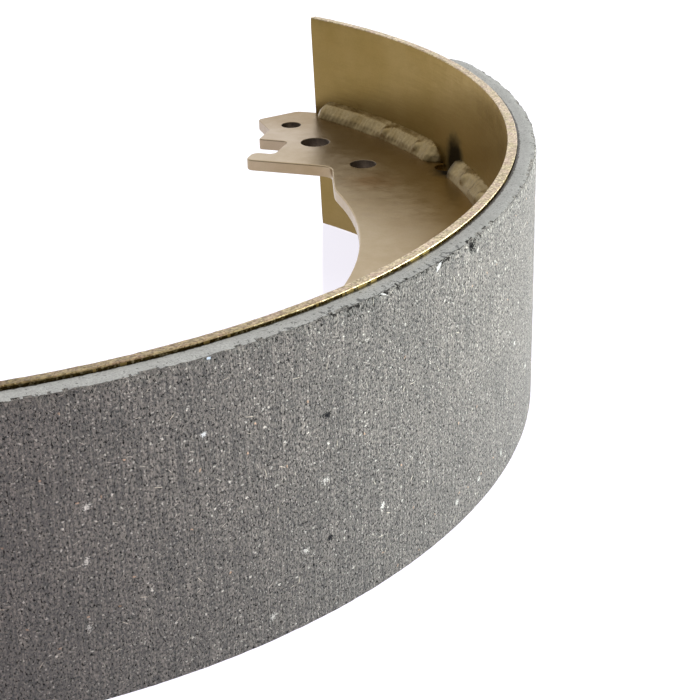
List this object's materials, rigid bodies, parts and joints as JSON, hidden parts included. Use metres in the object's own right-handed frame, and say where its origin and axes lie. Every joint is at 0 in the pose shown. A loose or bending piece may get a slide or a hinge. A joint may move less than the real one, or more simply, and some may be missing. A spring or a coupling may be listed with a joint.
{
  "type": "drum brake shoe",
  "caption": "Curved drum brake shoe: plated steel rim welded to a flat web with a slotted toe end, and a bonded friction lining on the outside.",
  "frame": {"origin": "middle of the friction face: on the middle line of the shoe's arc and level with the middle of the lining's width; the drum's axis is 125 mm away on the -X side", "axes": "+X outwards through the middle of the shoe's arc, at the drum; +Z along the drum's axis; +Y towards the slotted toe end"},
  "size_m": [0.0862, 0.2205, 0.0522],
  "materials": {
    "plated_steel": "satin",
    "weld_metal": "satin",
    "friction_material": "matte"
  },
  "bodies": {
    "root": {"shoe_rim": "plated_steel", "friction_lining": "friction_material", "shoe_web": "plated_steel", "upper_weld_1": "weld_metal", "upper_weld_2": "weld_metal", "upper_weld_3": "weld_metal", "upper_weld_4": "weld_metal", "upper_weld_5": "weld_metal", "lower_weld_1": "weld_metal", "lower_weld_2": "weld_metal", "lower_weld_3": "weld_metal", "lower_weld_4": "weld_metal", "lower_weld_5": "weld_metal"}
  },
  "joints": []
}
